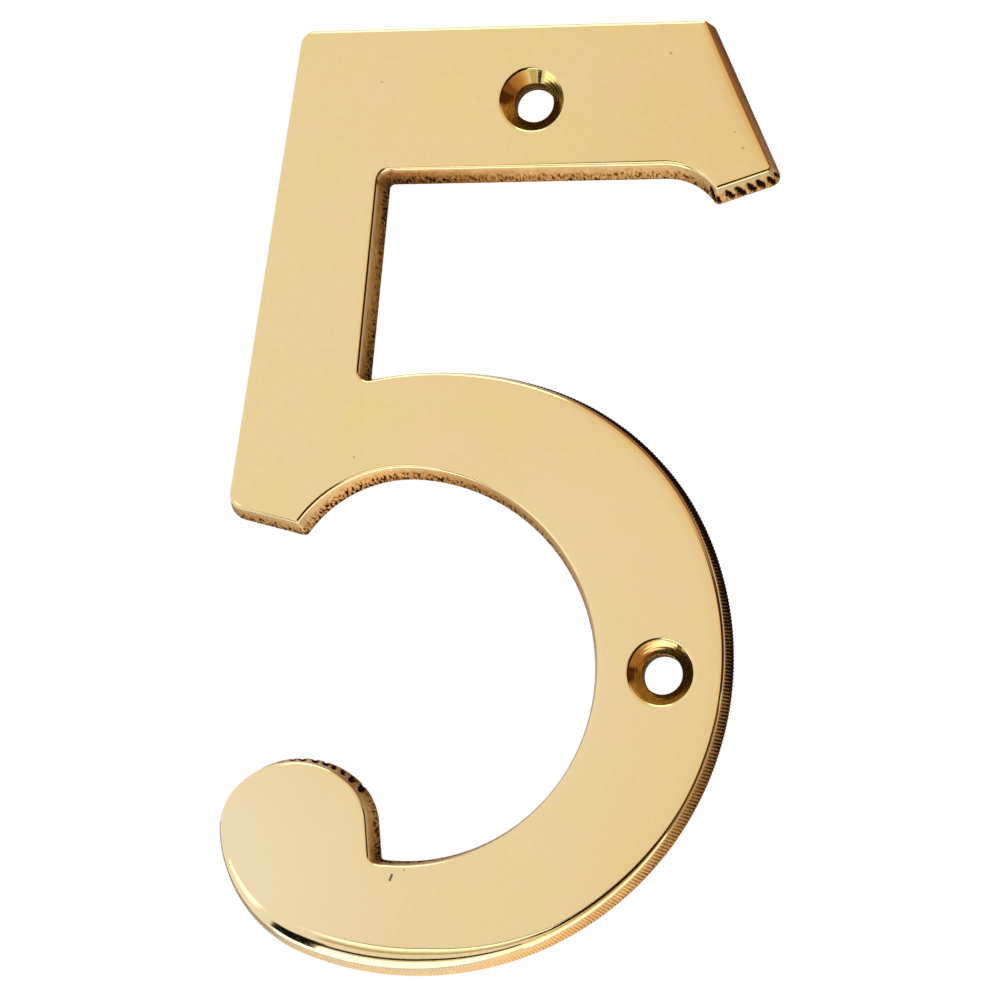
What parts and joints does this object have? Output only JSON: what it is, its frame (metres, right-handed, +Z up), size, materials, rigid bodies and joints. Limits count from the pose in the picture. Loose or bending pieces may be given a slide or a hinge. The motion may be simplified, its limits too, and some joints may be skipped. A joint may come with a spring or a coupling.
{
  "type": "door number",
  "caption": "Cast brass door number in the shape of the figure five, with a polished face, drafted sides, rolled edges and countersunk screw holes.",
  "frame": {"origin": "centre of the upper screw hole at the flat back", "axes": "+Z up as the number hangs on the door, +X to the reader's right, the polished face looks along -Y and the flat back along +Y"},
  "size_m": [0.0586, 0.004, 0.1014],
  "materials": {
    "brass": "polished face, ground sides"
  },
  "bodies": {
    "root": {"numeral": "brass"}
  },
  "joints": []
}
